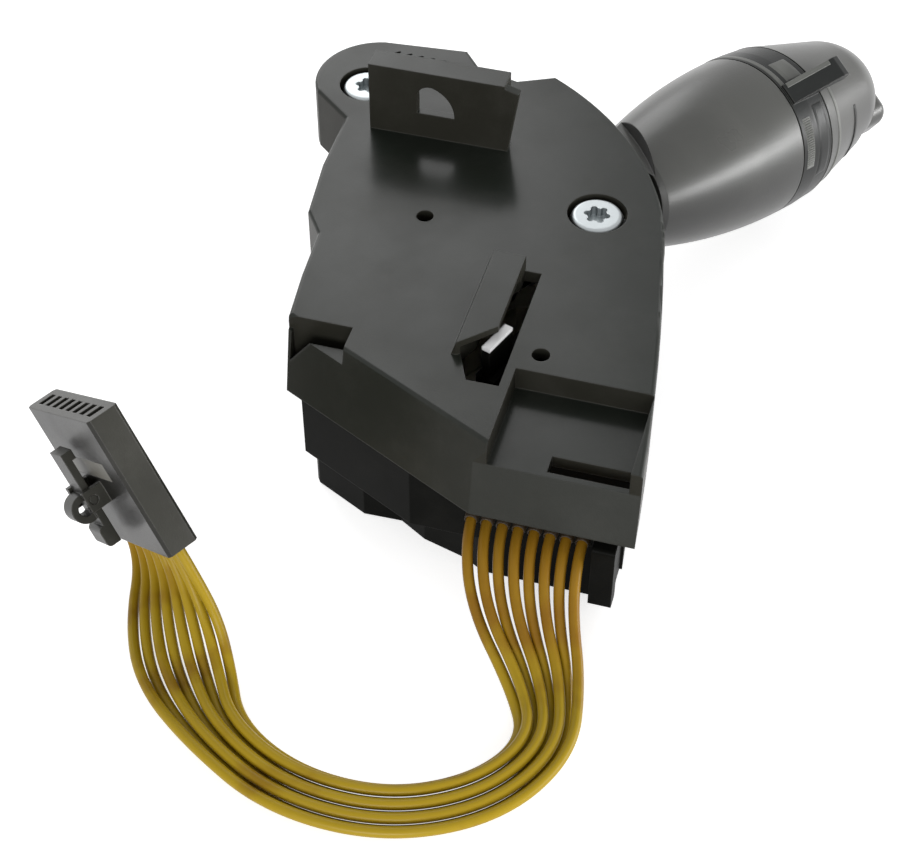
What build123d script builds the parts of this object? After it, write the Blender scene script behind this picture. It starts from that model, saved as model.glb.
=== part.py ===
from build123d import *
import math
import os

os.makedirs("parts", exist_ok=True)

# Frame: millimetres, +Z up. The origin is on the flat mounting face of the base, on the turn axis.

# Heights above the mounting face
COVER_TOP = 40.0
PLATE = 2.5
SKIRT_EDGE = 26.0
STEP_HEIGHT = 9.0
FLOOR = 3.0
WALL = 2.0
LID_GAP = 0.3
TRAY_INSET = WALL + LID_GAP
LOWER_INSET = 4.0
CEILING = COVER_TOP - PLATE

# Leaning front face of the cover, under its pocket
FRONT_FOOT_Y = -66.3
FRONT_TOP_Y = -62.6

# Sloped face along the lower left of the cover
SLOPE_START = Vector(-33.2, -46.4)
SLOPE_END = Vector(7.2, -66.5)
SLOPE_LEAN = 4.8

# Front wall where the wires come out
FRONT_WALL_Y = -57.0
LUG_REACH = 6.4
WIRE_COUNT = 8
WIRE_PITCH = 2.9
WIRE_DIAMETER = 2.0
WIRE_EXIT_X = 15.6
WIRE_EXIT_Z = 16.5
# Front of the lower block of the base, left of the wires
LOWER_FRONT = (
    (-38.6, -29.5), (-35.3, -37.7), (-30.8, -41.2), (-25.2, -49.6),
    (-10.8, -49.2), (-5.4, -52.4), (3.3, -54.8), (7.3, -57.1),
)
COMB_WIDTH = WIRE_COUNT * WIRE_PITCH
COMB_HEIGHT = 6.4
COMB_DEPTH = 4.2

# Screws
SCREW_PLACES = ((13.1, 1.8), (-41.3, 29.2))
SCREW_HEAD = 10.0
SCREW_HEAD_HEIGHT = 2.7
SOCKET_RADIUS = 1.9
LOBE_RADIUS = 0.65
SCREW_SHANK = 3.4
SCREW_LENGTH = 13.0
CUP_BORE = 11.5
CUP_FLOOR_TOP = 37.0
CUP_FLOOR = 2.0
BOSS_RADIUS = 4.0
BOSS_TOP = CUP_FLOOR_TOP - CUP_FLOOR

# Locating holes in the cover
LOCATING_PLACES = ((-18.1, -8.0), (12.3, -38.9))
LOCATING_HOLE = 3.3

# Fixing bores under the base
FIXING_PLACES = ((-24.0, 26.0), (18.8, -1.0), (-26.7, -36.5))
FIXING_BORE = 4.2
FIXING_DEPTH = 10.0
FIXING_BOSS_RADIUS = 4.2

# Harness bracket on the cover
BRACKET_LEFT = -36.4
BRACKET_RIGHT = -9.0
BRACKET_FACE_Y = 15.4
BRACKET_WALL = 1.8
BRACKET_TOP = 55.2
BRACKET_LIP = 5.0
BRACKET_HOLE_X = (-26.6, -19.0)
BRACKET_HOLE_Z = (45.6, 51.9)

# Hood and window over the cancel pawl
HOOD_LEFT = -3.0
HOOD_RIDGE = -2.0
HOOD_RIGHT = 4.0
HOOD_BACK_Y = -17.2
HOOD_FRONT_Y = (-43.0, -37.0)
HOOD_TOP = 43.0
HOOD_WALL = 1.4
WINDOW = (
    (HOOD_RIGHT, -18.0), (7.2, -18.0), (7.2, -48.5), (1.3, -48.5),
    (-1.6, -42.0), (0.3, -38.0), (0.3, -25.0), (HOOD_RIGHT, -21.0),
)

# Pocket at the lower right of the cover
POCKET_X = (8.9, 33.6)
POCKET_TOP_Y = -43.3
POCKET_FLOOR = 35.2
SLOT_X = (19.2, POCKET_X[1])
SLOT_Y = (-61.5, -57.7)

# Corner notch at the lower left of the cover
NOTCH_X = -21.6
NOTCH_Y = -41.3
NOTCH_RIM = 37.0
NOTCH_SLOT_X = (-33.0, NOTCH_X)
NOTCH_SLOT_Y = (-44.3, NOTCH_Y)
NOTCH_SLOT_FLOOR = 30.0

# Cutters run this far, past every edge of the part
BEYOND = 150.0

# Stalk axis: it leaves the turn axis at AXIS_HEIGHT, and distances along it are measured from there
AXIS_AZIMUTH = 60.0
AXIS_DIP = 8.0
AXIS_HEIGHT = 30.8

# Stalk stations along the axis
BARREL_START = 28.0
BARREL_END = 65.0
RING_END = 75.0
SEAM = 0.4
KNOB_WEB = RING_END + 7.0
KNOB_HUB_END = 88.4
SPINDLE_END = 91.0
RING_HUB_START = BARREL_END + 1.0
CLIP_WALL = 0.8
CLIP_INNER = 5.6
CLIP_OUTER = 9.2
CLIP_MOUTH = 6.8
KNOB_DISC = 91.8
KNOB_DISC_WALL = 1.5
BUTTON_TRAVEL = 1.8
BUTTON_SPRING_SOLID = 1.9
BUTTON_BACK = KNOB_DISC + KNOB_DISC_WALL + BUTTON_SPRING_SOLID + BUTTON_TRAVEL
BUTTON_FRONT = 107.2
TIP = 107.6

# Stalk radii
NECK_RADIUS = 8.0
SPINDLE_RADIUS = 7.0
RUNNING_FIT = 0.06
HUB_WALL = 2.4
SHELL_WALL = 2.2
ROOT_RADIUS = 11.5
ROOT_SOLID = 8.0
BELLY_RADIUS = 16.1
BELLY_AT = 48.0
SHOULDER_RADIUS = 12.9
SHOULDER_AT = 95.0
RING_RADIUS = 17.6
# The cover's edge reaches this far from the turn axis over the stalk, and the root keeps clear of it
EDGE_REACH = 38.0
EDGE_GAP = 0.6
EDGE_SIDE_GAP = 1.4

# Grip tab of the turning ring
TAB_WIDTH = 4.6
TAB_ANGLE = 31.0
TAB_REACH = 7.4

# Push button in the end of the knob
BUTTON_ANGLE = 122.0
BUTTON_WIDTH = 9.8
BUTTON_INNER = 1.8
BUTTON_OUTER = 11.2
BUTTON_GAP = 0.35

# Ranges of the lever, in degrees
TURN_RANGE = 10.0
FLASH_RANGE = 5.0

# Yoke
YOKE_BOTTOM = 12.2
YOKE_TOP = 22.0
YOKE_HUB_RADIUS = 8.5
PIVOT_PIN_RADIUS = 2.5
PIVOT_PIN_FOOT = 5.0
PIVOT_PIN_TOP = 23.0
PIVOT_BOSS_RADIUS = 5.5
PIVOT_BOSS_TOP = 12.0
ARM_HALF_WIDTH = 4.5
ARM_BOTTOM = 25.5
ARM_TOP = 34.0
ARM_TAIL = -14.0
CHEEK_GAP = 0.2
CHEEK_WALL = 2.5
CHEEK_START = 15.5
CHEEK_END = 22.5
CROSS_PIN_AT = 19.0
CROSS_PIN_Z = 29.0
CROSS_PIN_RADIUS = 2.0
FLASH_SPRING_AT = -6.4
FLASH_SPRING_RADIUS = 2.6
FLASH_SPRING_SEAT = 20.0
SHIELD_RADIUS = 24.0
SHIELD_WALL = 1.4
SHIELD_HALF_ANGLE = 30.0
SHIELD_BOTTOM = 9.9
SHIELD_TOP = 37.1
OPENING_FROM = 12.0
OPENING_TO = 104.0
OPENING_FLOOR = 9.4

# Detent
PLUNGER_RADIUS = 2.0
PLUNGER_Z = 17.0
PLUNGER_TIP = 25.4
PLUNGER_LENGTH = 9.0
PLUNGER_BORE_FROM = 11.0
TAIL_END = 21.0
TRACK_GAP = 0.06
TRACK_FACE = PLUNGER_TIP + TRACK_GAP
TRACK_WALL = 3.5
TRACK_HALF = 15.0
VALLEY_RADIUS = 2.2
VALLEY_DEPTH = 0.6

# Contact board and slider
BOARD_X = (-22.0, 25.5)
BOARD_Y = (-47.0, -7.0)
BOARD_BOTTOM = 5.0
BOARD_THICK = 1.6
BOARD_POSTS = ((-18.0, -12.0), (-18.0, -41.0), (21.0, -43.0), (20.5, -14.0))
BOARD_POST_RADIUS = 2.6
BOARD_TOP = BOARD_BOTTOM + BOARD_THICK
SLIDER_AT = 17.0
SLIDER_LENGTH = 9.0
SLIDER_WIDTH = 14.0
SLIDER_BOTTOM = 7.2
SLIDER_TOP = 11.4
DRIVE_PIN_RADIUS = 1.5
DRIVE_PIN_FOOT = 8.2
DRIVE_SLOT_GAP = 0.09
CONTACT_THICK = 0.3

# Cancel pawl
PAWL_PIN = (8.6, -25.0)
PAWL_PIN_RADIUS = 1.5
PAWL_Z = (30.0, 34.0)
PAWL_BLADE_TOP = 41.4
PAWL_PAD = 0.8
PAWL_BLADE_FROM = (5.3, -34.6)
PAWL_BLADE_TO = (2.9, -41.4)
PAWL_BLADE_WALL = 1.7

# Connector: its frame has X along the row of cavities and Z from the wires to the mating face
PLUG_TAIL = (-48.9, -77.0, 14.5)
PLUG_ROW = (0.662, -0.505, 0.554)
PLUG_AXIS = (-0.523, 0.219, 0.824)
PLUG_LENGTH = 27.8
PLUG_WIDTH = 32.0
PLUG_THICK = 6.1
PLUG_PITCH = 3.6
CAVITY = (2.0, 3.0)
TERMINAL_GAP = 0.08
TERMINAL_SHORT = 6.0
LOCK_BAR_LENGTH = 19.0
LOCK_BAR_Z = (15.0, 18.6)
LATCH_AT = -2.4
LATCH_WIDTH = 5.8
LATCH_STAND = 2.6
LATCH_PIVOT = 12.0
LATCH_WALL = 1.4
TRUNNION_RADIUS = 0.8
EAR_WALL = 1.4

# Wires: stations of the bundle centre, the spread from wire to wire, and the offset of every second wire
WIRE_CENTRE = (
    (15.6, -57.0, 16.5),
    (15.6, -63.0, 16.5),
    (18.0, -71.5, 9.8),
    (25.0, -81.0, 1.4),
    (28.6, -93.5, 1.4),
    (21.0, -106.0, 1.4),
    (6.0, -113.8, 1.4),
    (-12.0, -113.6, 1.4),
    (-27.0, -106.0, 1.4),
    (-36.0, -96.0, 1.4),
    (-41.5, -87.0, 4.6),
    (-45.76, -78.31, 9.56),
    (-48.9, -77.0, 14.5),
)
WIRE_SPREAD = (
    (2.9, 0.0, 0.0),
    (2.9, 0.0, 0.0),
    (2.5, 0.5, 0.0),
    (1.6, 0.5, 0.0),
    (1.25, -0.3, 0.0),
    (0.95, -1.0, 0.0),
    (0.33, -1.33, 0.0),
    (-0.33, -1.33, 0.0),
    (-0.92, -1.02, 0.0),
    (-1.95, -1.15, 0.0),
    (-2.45, -0.1, -0.9),
    (-2.383, 1.818, -1.994),
    (-2.383, 1.818, -1.994),
)
WIRE_OFFSET = (
    (0.0, 0.0, 0.0),
    (0.0, 0.0, 0.0),
    (0.1, -0.3, 0.5),
    (0.2, -0.2, 1.95),
    (0.0, 0.0, 2.2),
    (0.0, 0.0, 1.75),
    (0.0, 0.0, 1.75),
    (0.0, 0.0, 1.75),
    (0.0, 0.0, 1.75),
    (0.0, 0.0, 1.2),
    (0.0, 0.0, 0.0),
    (0.0, 0.0, 0.0),
    (0.0, 0.0, 0.0),
)

STALK = Plane(
    origin=(0, 0, AXIS_HEIGHT),
    x_dir=(-math.sin(math.radians(AXIS_AZIMUTH)), math.cos(math.radians(AXIS_AZIMUTH)), 0),
    z_dir=(
        math.cos(math.radians(AXIS_AZIMUTH)) * math.cos(math.radians(AXIS_DIP)),
        math.sin(math.radians(AXIS_AZIMUTH)) * math.cos(math.radians(AXIS_DIP)),
        -math.sin(math.radians(AXIS_DIP)),
    ),
)
PLUG = Plane(origin=PLUG_TAIL, x_dir=PLUG_ROW, z_dir=PLUG_AXIS)


# General helpers
def block(x, y, z):
    """A box between two values on each axis."""
    size = (x[1] - x[0], y[1] - y[0], z[1] - z[0])
    return Pos((x[0] + x[1]) / 2, (y[0] + y[1]) / 2, (z[0] + z[1]) / 2) * Box(*size)


def rod(x, y, radius, z):
    """An upright cylinder between two heights."""
    return Pos(x, y, (z[0] + z[1]) / 2) * Cylinder(radius, z[1] - z[0])


def on_yoke(shape):
    """Turn a shape modelled along +X onto the plan direction of the stalk."""
    return Rot(0, 0, AXIS_AZIMUTH) * shape


def on_stalk(shape):
    """Move a shape modelled along +Z onto the stalk axis."""
    return STALK.location * shape


def turned(outline):
    """Revolve a closed outline of (radius, distance) points about Z."""
    points = [(radius, 0, along) for radius, along in outline]
    return revolve(make_face(Polyline(points, close=True)), axis=Axis.Z)


def save(shape, name):
    export_step(shape, f"parts/{name}.step")


# The plan outline of the cover
def cover_outline():
    """Outline of the cover at the edge of its skirt."""
    right = ThreePointArc((36.1, -67.4), (33.5, -41.9), (28.0, -8.0))
    crown = ThreePointArc((28.0, -8.0), (16.0, 23.2), (-5.0, 42.4))
    notch = Polyline((-5.0, 42.4), (-12.2, 38.9), (-20.8, 41.2), (-24.8, 46.2), (-42.5, 44.8))
    ear = ThreePointArc((-42.5, 44.8), (-51.3, 38.0), (-50.6, 24.4))
    left = Polyline(
        (-50.6, 24.4), (-42.3, 17.3), (-41.9, 2.0), (-40.0, -12.4), (-36.1, -18.1),
        (-35.2, -30.0), (SLOPE_START.X, SLOPE_START.Y), (SLOPE_END.X, SLOPE_END.Y),
        (10.4, -67.4), (36.1, -67.4),
    )
    return make_face([right, crown, *notch.edges(), ear, *left.edges()])


def slope_cutter(inset, floor):
    """Everything outside the sloped face, moved inwards by the inset."""
    along = (SLOPE_END - SLOPE_START).normalized()
    inward = Vector(-along.Y, along.X)
    frame = Plane(origin=SLOPE_START - along * 15, x_dir=(inward.X, inward.Y, 0), z_dir=(along.X, along.Y, 0))
    reach = (SLOPE_END - SLOPE_START).length + 15
    low = inset - SLOPE_LEAN * (SKIRT_EDGE - floor) / (COVER_TOP - SKIRT_EDGE)
    high = inset + SLOPE_LEAN * (50 - SKIRT_EDGE) / (COVER_TOP - SKIRT_EDGE)
    profile = Polyline((-30, floor), (low, floor), (high, 50), (-30, 50), close=True)
    side = make_face(profile)
    # The frame has X inwards and Z along the slope, so its Y points straight down or up
    up = frame.y_dir.Z
    if up < 0:
        side = mirror(side, Plane.XZ)
    return extrude(frame.location * side, reach, dir=(along.X, along.Y, 0))


def front_cutter(inset):
    """Everything in front of the leaning front face, moved inwards by the inset."""
    foot, top = FRONT_FOOT_Y + inset, FRONT_TOP_Y + inset
    side = Plane.YZ * Polyline((-BEYOND, 0), (foot, 0), (foot, SKIRT_EDGE), (top, POCKET_FLOOR),
                               (top, BEYOND), (-BEYOND, BEYOND), close=True)
    return extrude(make_face(side), BEYOND, both=True)


def lower_cutter(inset):
    """Everything in front of the lower block of the base, moved inwards by the inset."""
    first, last = LOWER_FRONT[0], LOWER_FRONT[-1]
    corners = Polyline((-BEYOND, first[1]), *LOWER_FRONT, (last[0], -BEYOND), (-BEYOND, -BEYOND), close=True)
    face = make_face(corners)
    if inset:
        face = offset(face, inset, kind=Kind.INTERSECTION)
    return Pos(0, 0, -1) * extrude(face, STEP_HEIGHT + WALL + 2, dir=(0, 0, 1))


def plan_block(inset, z):
    """The plan outline, moved inwards and raised between two heights."""
    face = cover_outline()
    if inset:
        face = offset(face, -inset, kind=Kind.INTERSECTION)
    return Pos(0, 0, z[0]) * extrude(face, z[1] - z[0], dir=(0, 0, 1))


def ring_sector(radii, angles, z):
    """A sector of a ring about the turn axis."""
    inner, outer = radii
    start, stop = angles
    middle = math.radians((start + stop) / 2)
    points = [(r * math.cos(math.radians(a)), r * math.sin(math.radians(a))) for r, a in
              ((inner, start), (outer, start), (outer, stop), (inner, stop))]
    outside = ThreePointArc(points[1], (outer * math.cos(middle), outer * math.sin(middle)), points[2])
    inside = ThreePointArc(points[3], (inner * math.cos(middle), inner * math.sin(middle)), points[0])
    face = make_face([Line(points[0], points[1]), outside, Line(points[2], points[3]), inside])
    return Pos(0, 0, z[0]) * extrude(face, z[1] - z[0], dir=(0, 0, 1))


# Rear cover with bracket, hood, window and pocket
def bracket():
    wall = block((BRACKET_LEFT, BRACKET_RIGHT), (BRACKET_FACE_Y, BRACKET_FACE_Y + BRACKET_WALL),
                 (COVER_TOP - 1, BRACKET_TOP))
    lip = block((BRACKET_LEFT, BRACKET_RIGHT), (BRACKET_FACE_Y, BRACKET_FACE_Y + BRACKET_LIP),
                (BRACKET_TOP - BRACKET_WALL, BRACKET_TOP))
    gusset = Pos(0, BRACKET_FACE_Y + BRACKET_WALL, 0) * extrude(
        make_face(Plane.XZ * Polyline(
            (BRACKET_RIGHT - 2, COVER_TOP - 1), (BRACKET_RIGHT + 0.6, COVER_TOP - 1),
            (BRACKET_RIGHT + 2.8, BRACKET_TOP - 1.4), (BRACKET_RIGHT - 2, BRACKET_TOP), close=True)),
        BRACKET_WALL, dir=(0, -1, 0))
    rib = block((BRACKET_RIGHT - BRACKET_WALL, BRACKET_RIGHT),
                (BRACKET_FACE_Y, BRACKET_FACE_Y + BRACKET_LIP), (COVER_TOP - 1, BRACKET_TOP))
    left, right = BRACKET_HOLE_X
    low, high = BRACKET_HOLE_Z
    hole_outline = [
        Line((left, low), (right, low)),
        ThreePointArc((right, low), (right - 1.9, high - 1.5), (left + 3.3, high)),
        ThreePointArc((left + 3.3, high), (left + 0.8, high - 0.6), (left, high - 2.4)),
        Line((left, high - 2.4), (left, low)),
    ]
    hole = Pos(0, BRACKET_FACE_Y + 2 * BRACKET_WALL, 0) * extrude(
        Plane.XZ.location * make_face(hole_outline), 4 * BRACKET_WALL, dir=(0, -1, 0))
    return wall + lip + gusset + rib - hole


def hood():
    """Ridge over the cancel pawl, with a sloping left side, an open right side and a slanted front end."""
    low = COVER_TOP - 1
    section = Polyline((HOOD_LEFT, low), (HOOD_LEFT, COVER_TOP), (HOOD_RIDGE, HOOD_TOP),
                       (HOOD_RIGHT, HOOD_TOP), (HOOD_RIGHT, low), close=True)
    left_end, right_end = HOOD_FRONT_Y
    ridge = Pos(0, HOOD_BACK_Y, 0) * extrude(
        make_face(Plane.XZ * section), HOOD_BACK_Y - left_end, dir=(0, -1, 0))
    in_front = Polyline((HOOD_RIDGE, left_end), (HOOD_RIGHT, right_end), (HOOD_RIGHT + 1, right_end),
                        (HOOD_RIGHT + 1, left_end - 1), (HOOD_RIDGE, left_end - 1), close=True)
    return ridge - Pos(0, 0, low - 1) * extrude(make_face(in_front), HOOD_TOP, dir=(0, 0, 1))


def window_cutter():
    """The opening that the pawl swings in: it ends under the roof of the hood."""
    outline = make_face(Polyline(*WINDOW, close=True))
    low = CEILING - 3
    return Pos(0, 0, low) * extrude(outline, HOOD_TOP - HOOD_WALL - low, dir=(0, 0, 1))


def screw_cup(x, y):
    return rod(x, y, CUP_BORE / 2 + 1.8, (BOSS_TOP, COVER_TOP - 0.5))


def screw_cup_cutter(x, y):
    sink = rod(x, y, CUP_BORE / 2, (CUP_FLOOR_TOP, COVER_TOP + 1))
    hole = rod(x, y, SCREW_SHANK / 2 + 0.3, (BOSS_TOP - 1, COVER_TOP))
    return sink + hole


def rear_cover():
    outside = plan_block(0, (SKIRT_EDGE, COVER_TOP)) - slope_cutter(0, SKIRT_EDGE - 1)
    top_edges = outside.faces().sort_by(Axis.Z)[-1].edges()
    outside = fillet(top_edges, 0.8) - front_cutter(0)
    inside = plan_block(WALL, (SKIRT_EDGE - 1, CEILING)) - slope_cutter(WALL, SKIRT_EDGE - 2)
    inside -= front_cutter(WALL)
    pocket_floor = inside & block((POCKET_X[0] - WALL, 40), (-70, POCKET_TOP_Y + WALL),
                                  (POCKET_FLOOR - PLATE, 50))
    notch_floor = inside & block((-40, NOTCH_X + WALL), (-60, NOTCH_Y + WALL),
                                 (NOTCH_SLOT_FLOOR - WALL, 50))
    cover = outside - inside + pocket_floor + notch_floor
    cover -= block((POCKET_X[0], POCKET_X[1]), (-70, POCKET_TOP_Y), (POCKET_FLOOR, 50))
    cover -= block(SLOT_X, SLOT_Y, (20, 50))
    cover -= block((-40, NOTCH_X), (-60, NOTCH_Y), (NOTCH_RIM, 50))
    cover -= block(NOTCH_SLOT_X, NOTCH_SLOT_Y, (NOTCH_SLOT_FLOOR, 50))
    for x, y in SCREW_PLACES:
        cup = screw_cup(x, y) & plan_block(0, (BOSS_TOP - 1, COVER_TOP))
        cover = cover + cup - screw_cup_cutter(x, y)
    for x, y in LOCATING_PLACES:
        cover -= rod(x, y, LOCATING_HOLE / 2, (CEILING - 1, COVER_TOP + 1))
    cover = cover + hood() + bracket() - window_cutter()
    # The skirt is open where the stalk swings
    cover -= ring_sector((15.0, 60.0), (OPENING_FROM, OPENING_TO), (20, CEILING))
    return cover


# Base housing
def base_housing():
    tray = plan_block(TRAY_INSET, (STEP_HEIGHT, CEILING - LID_GAP))
    tray -= slope_cutter(TRAY_INSET, STEP_HEIGHT - 1)
    lower = plan_block(LOWER_INSET, (0, STEP_HEIGHT)) - lower_cutter(0)
    front = block((-80, 80), (FRONT_WALL_Y, 80), (-1, 60))
    tray_room = plan_block(TRAY_INSET + WALL, (STEP_HEIGHT + WALL, COVER_TOP))
    tray_room -= slope_cutter(TRAY_INSET + WALL, STEP_HEIGHT)
    lower_room = plan_block(LOWER_INSET + WALL, (FLOOR, STEP_HEIGHT + WALL + 1)) - lower_cutter(WALL)
    room = (tray_room + lower_room) & block((-80, 80), (FRONT_WALL_Y + WALL, 80), (-1, 60))
    base = ((tray + lower) & front) - room
    # Room for the pocket floor, the screw cups and the notch floor of the cover
    base -= block((POCKET_X[0] - WALL - 0.5, 60), (-80, POCKET_TOP_Y + WALL + 0.5),
                  (POCKET_FLOOR - PLATE - LID_GAP, 60))
    base -= block((-60, NOTCH_X + WALL + 0.5), (-80, NOTCH_Y + WALL + 0.5),
                  (NOTCH_SLOT_FLOOR - WALL - LID_GAP, 60))
    for x, y in SCREW_PLACES:
        base -= rod(x, y, CUP_BORE / 2 + 1.8 + LID_GAP, (BOSS_TOP, 60))
    # The wall is open where the stalk swings
    base -= ring_sector((18.0, 70.0), (OPENING_FROM, OPENING_TO), (OPENING_FLOOR, 60))
    for x, y in SCREW_PLACES:
        base += rod(x, y, BOSS_RADIUS, (FLOOR - 1, BOSS_TOP))
        base -= rod(x, y, SCREW_SHANK / 2, (BOSS_TOP - SCREW_LENGTH, BOSS_TOP + 1))
    for x, y in FIXING_PLACES:
        boss = rod(x, y, FIXING_BOSS_RADIUS, (0, FIXING_DEPTH + FLOOR)) & plan_block(LOWER_INSET, (0, 30))
        base = base + boss - rod(x, y, FIXING_BORE / 2, (-1, FIXING_DEPTH))
    base += rod(0, 0, PIVOT_BOSS_RADIUS, (FLOOR - 1, PIVOT_BOSS_TOP))
    base -= rod(0, 0, PIVOT_PIN_RADIUS, (PIVOT_PIN_FOOT, PIVOT_BOSS_TOP + 1))
    base += pawl_post()
    base -= rod(*PAWL_PIN, PAWL_PIN_RADIUS, (PAWL_Z[0] - 8, 60))
    for x, y in BOARD_POSTS:
        base += rod(x, y, BOARD_POST_RADIUS, (FLOOR - 1, BOARD_BOTTOM))
    track_back = TRACK_FACE + TRACK_WALL
    base += on_yoke(ring_sector((track_back, track_back + 2), (180 - TRACK_HALF - 1, 180 + TRACK_HALF + 1),
                                (FLOOR - 1, PLUNGER_Z + 3)))
    comb_x = (WIRE_EXIT_X - COMB_WIDTH / 2, WIRE_EXIT_X + COMB_WIDTH / 2)
    base -= block(comb_x, (FRONT_WALL_Y - 1, FRONT_WALL_Y + WALL + 1),
                  (WIRE_EXIT_Z - COMB_HEIGHT / 2, WIRE_EXIT_Z + COMB_HEIGHT / 2))
    return base + fixing_lug()


def pawl_post():
    x, y = PAWL_PIN
    return rod(x, y, 3.0, (FLOOR - 1, PAWL_Z[0] - 0.1))


def fixing_lug():
    """Hooked lug at the lower right of the base."""
    tip = FRONT_WALL_Y - LUG_REACH
    finger = block((28.2, 32.4), (tip, FRONT_WALL_Y + 1), (9.0, 20.0))
    hook = block((28.2, 32.4), (tip, tip + 3.4), (5.0, 10.0))
    return fillet((finger + hook).edges().filter_by(Axis.X), 0.8)


# Screws
def cover_screws():
    screws = []
    for x, y in SCREW_PLACES:
        head = rod(x, y, SCREW_HEAD / 2, (CUP_FLOOR_TOP, CUP_FLOOR_TOP + SCREW_HEAD_HEIGHT))
        head = fillet(head.edges().sort_by(Axis.Z)[-1], 0.9)
        shank = rod(x, y, SCREW_SHANK / 2, (CUP_FLOOR_TOP + 0.5 - SCREW_LENGTH, CUP_FLOOR_TOP + 0.2))
        deep = (CUP_FLOOR_TOP + 0.7, 60)
        socket = rod(x, y, SOCKET_RADIUS, deep)
        for lobe in range(6):
            angle = math.radians(60 * lobe)
            lobe_x, lobe_y = x + SOCKET_RADIUS * math.cos(angle), y + SOCKET_RADIUS * math.sin(angle)
            socket += rod(lobe_x, lobe_y, LOBE_RADIUS, deep)
        screws.append(head + shank - socket)
    return Compound(children=screws)


# Turn mechanism
def yoke():
    hub = rod(0, 0, YOKE_HUB_RADIUS, (YOKE_BOTTOM, YOKE_TOP))
    bar = block((-TAIL_END, CHEEK_END), (-ARM_HALF_WIDTH, ARM_HALF_WIDTH), (YOKE_BOTTOM, YOKE_TOP))
    inner = ARM_HALF_WIDTH + CHEEK_GAP
    outer = inner + CHEEK_WALL
    cheeks = block((CHEEK_START, CHEEK_END), (-outer, outer), (YOKE_BOTTOM, ARM_TOP))
    cheeks -= block((CHEEK_START - 1, CHEEK_END + 1), (-inner, inner), (YOKE_TOP, 60))
    web = block((CHEEK_END - 1, SHIELD_RADIUS + 1), (-outer, outer), (YOKE_BOTTOM, YOKE_TOP - 4))
    web &= rod(0, 0, SHIELD_RADIUS, (0, 60))
    drive = rod(-SLIDER_AT, 0, DRIVE_PIN_RADIUS, (DRIVE_PIN_FOOT, YOKE_BOTTOM + 1))
    body = hub + bar + cheeks + web + drive
    body -= rod(0, 0, PIVOT_PIN_RADIUS + RUNNING_FIT, (YOKE_BOTTOM - 1, YOKE_TOP + 1))
    body -= Pos(CROSS_PIN_AT, 0, CROSS_PIN_Z) * Rot(90, 0, 0) * Cylinder(CROSS_PIN_RADIUS, 3 * outer)
    bore_length = TAIL_END - PLUNGER_BORE_FROM
    body -= (Pos(-PLUNGER_BORE_FROM - bore_length / 2 - 0.5, 0, PLUNGER_Z) * Rot(0, 90, 0)
             * Cylinder(PLUNGER_RADIUS + RUNNING_FIT, bore_length + 1))
    body -= rod(FLASH_SPRING_AT, 0, FLASH_SPRING_RADIUS + 0.4, (FLASH_SPRING_SEAT, YOKE_TOP + 1))
    return on_yoke(body)


def dust_shield():
    """Curved shield on the yoke that closes the swing opening behind the stalk."""
    wall = ring_sector((SHIELD_RADIUS, SHIELD_RADIUS + SHIELD_WALL),
                       (-SHIELD_HALF_ANGLE, SHIELD_HALF_ANGLE), (SHIELD_BOTTOM, SHIELD_TOP))
    drop = SHIELD_RADIUS * math.sin(math.radians(AXIS_DIP))
    hole = Rot(0, 90, 0) * extrude(SlotOverall(20.4, 2 * NECK_RADIUS + 1.8, 0), 40)
    hole = Pos(SHIELD_RADIUS - 20, 0, AXIS_HEIGHT - drop + 0.6) * hole
    return on_yoke(wall - hole)


def pivot_pin():
    pin = rod(0, 0, PIVOT_PIN_RADIUS, (PIVOT_PIN_FOOT, PIVOT_PIN_TOP))
    return chamfer(pin.edges().sort_by(Axis.Z)[-1], 0.5)


def cross_pin():
    length = 2 * (ARM_HALF_WIDTH + CHEEK_GAP + CHEEK_WALL)
    pin = Rot(90, 0, 0) * Cylinder(CROSS_PIN_RADIUS, length)
    return on_yoke(Pos(CROSS_PIN_AT, 0, CROSS_PIN_Z) * pin)


def detent_plunger():
    tip = PLUNGER_TIP
    body = Pos(-(tip - PLUNGER_LENGTH / 2 - PLUNGER_RADIUS / 2), 0, PLUNGER_Z) * Rot(0, 90, 0) * Cylinder(
        PLUNGER_RADIUS, PLUNGER_LENGTH - PLUNGER_RADIUS)
    nose = Pos(-(tip - PLUNGER_RADIUS), 0, PLUNGER_Z) * Sphere(PLUNGER_RADIUS)
    return on_yoke(body + nose)


def detent_track():
    """Curved track with a shallow valley for each of the three lever positions."""
    track = ring_sector((TRACK_FACE, TRACK_FACE + TRACK_WALL), (180 - TRACK_HALF, 180 + TRACK_HALF),
                        (SLIDER_TOP + 1.2, PLUNGER_Z + 3))
    for turn in (-TURN_RANGE, 0, TURN_RANGE):
        angle = math.radians(180 + turn)
        reach = TRACK_FACE + VALLEY_DEPTH - VALLEY_RADIUS
        track -= rod(reach * math.cos(angle), reach * math.sin(angle), VALLEY_RADIUS, (0, 60))
    return on_yoke(track)


# Helical springs
def coil_spring(radius, wire, height, turns):
    """A helical spring standing on the XY plane."""
    pitch = (height - wire) / turns
    path = Helix(pitch=pitch, height=height - wire, radius=radius - wire / 2)
    start = path @ 0
    section = Plane(origin=start, z_dir=path % 0) * Circle(wire / 2)
    return Pos(0, 0, wire / 2) * sweep(section, path=path, is_frenet=True)


def detent_spring():
    back = PLUNGER_TIP - PLUNGER_LENGTH
    spring = coil_spring(1.6, 0.45, back - PLUNGER_BORE_FROM - 0.1, 6)
    return on_yoke(Pos(-PLUNGER_BORE_FROM - 0.05, 0, PLUNGER_Z) * Rot(0, -90, 0) * spring)


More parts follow.
